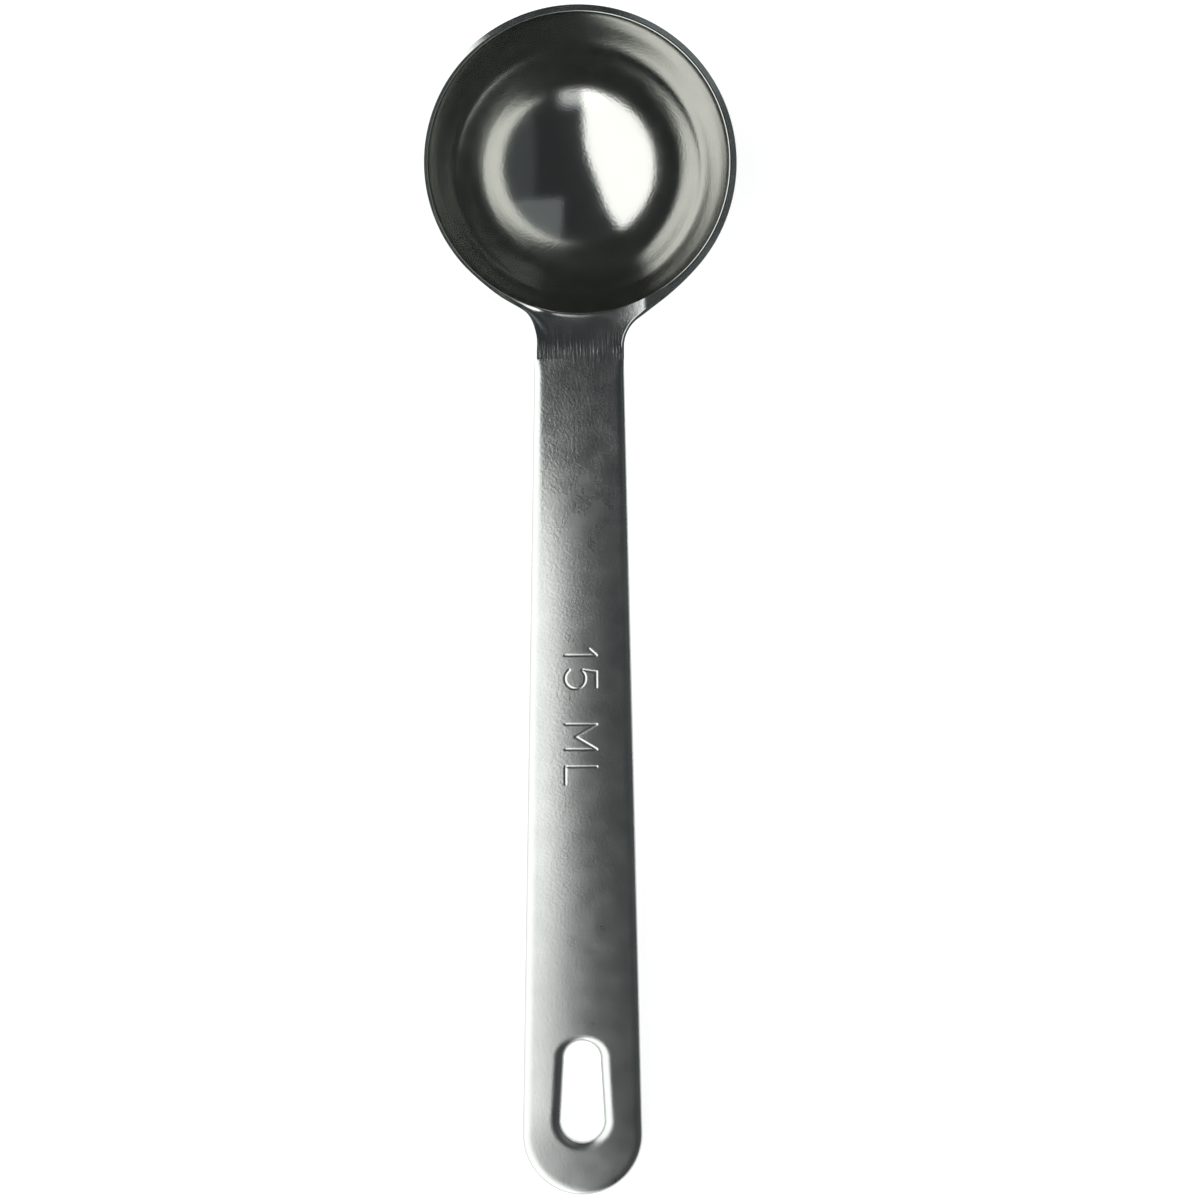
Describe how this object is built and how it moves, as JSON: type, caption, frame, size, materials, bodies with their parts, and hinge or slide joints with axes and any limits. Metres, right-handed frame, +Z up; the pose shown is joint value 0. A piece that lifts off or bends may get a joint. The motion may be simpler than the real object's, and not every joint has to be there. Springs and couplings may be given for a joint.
{
  "type": "measuring spoon",
  "caption": "Stainless steel tablespoon measure: half-round bowl, flat neck, crowned handle with turned-down edges and a hanging slot",
  "frame": {"origin": "on the table, under the middle of the spoon's box as it rests on the bowl's underside and the handle's tip", "axes": "+Z up from the table; +Y from the handle's tip towards the bowl; +X to the right with the handle towards the viewer"},
  "size_m": [0.0406, 0.1508, 0.023],
  "materials": {
    "bowl_steel": "satin, drawn and tumbled",
    "handle_steel": "satin, pressed, finely pebbled by tumbling"
  },
  "bodies": {
    "root": {"bowl": "bowl_steel", "handle": "handle_steel"}
  },
  "joints": []
}
